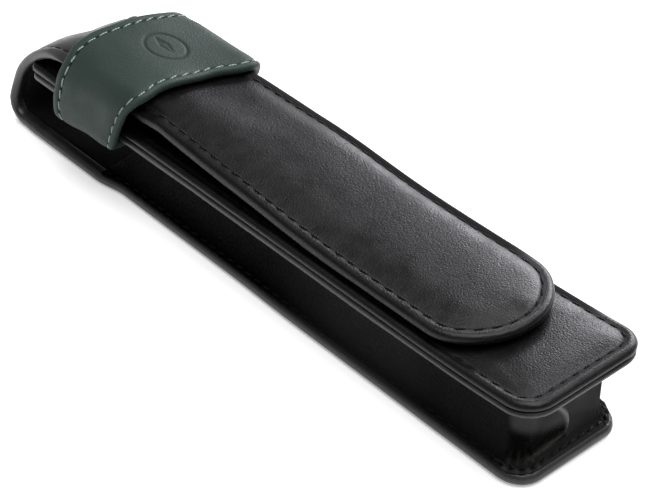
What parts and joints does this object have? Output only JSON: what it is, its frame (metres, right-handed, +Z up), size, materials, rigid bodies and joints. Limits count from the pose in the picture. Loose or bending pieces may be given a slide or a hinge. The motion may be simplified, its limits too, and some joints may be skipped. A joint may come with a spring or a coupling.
{
  "type": "fountain pen case",
  "caption": "Slim gusseted leather pouch for one fountain pen, with a long rounded tuck-in flap held under a contrasting strap loop.",
  "frame": {"origin": "centre of the footprint, on the surface that the case lies on", "axes": "+Z up, +X from the folded mouth end to the closed end, +Y across the case"},
  "size_m": [0.162, 0.0372, 0.0293],
  "materials": {
    "case_leather": "black grained calf leather with a soft sheen",
    "lining_leather": "matt black lining leather",
    "strap_leather": "smooth dark green leather",
    "board": "bonded leather board, hidden",
    "foam": "thin foam padding, hidden",
    "case_thread": "black waxed thread",
    "strap_thread": "pale mint green waxed thread"
  },
  "bodies": {
    "pocket": {"back_outer": "case_leather", "back_board": "board", "back_lining": "lining_leather", "back_thread": "case_thread", "front_outer": "case_leather", "front_board": "board", "front_lining": "lining_leather", "front_thread": "case_thread", "gusset_outer": "case_leather", "gusset_lining": "lining_leather", "fold_outer": "case_leather", "fold_lining": "lining_leather", "fold_thread": "case_thread", "strap_outer": "strap_leather", "strap_lining": "lining_leather", "strap_tab": "strap_leather", "strap_thread_mouth": "strap_thread", "strap_thread_flap": "strap_thread"},
    "flap_neck": {"flap_neck_outer": "case_leather", "flap_neck_padding": "foam", "flap_neck_lining": "lining_leather", "flap_neck_thread": "case_thread"},
    "flap_end": {"flap_end_outer": "case_leather", "flap_end_padding": "foam", "flap_end_lining": "lining_leather", "flap_end_thread": "case_thread"}
  },
  "joints": [
    {"name": "flap_draw", "type": "slide", "parent": "pocket", "child": "flap_neck", "axis": [-1, 0, 0], "range_m": [0, 0.022], "deforming": ["fold_outer", "fold_lining", "fold_thread"]},
    {"name": "flap_lift", "type": "hinge", "parent": "flap_neck", "child": "flap_end", "pos_m": [-0.005, 0, 0.0237], "axis": [0, -1, 0], "range_deg": [0, 80]}
  ]
}
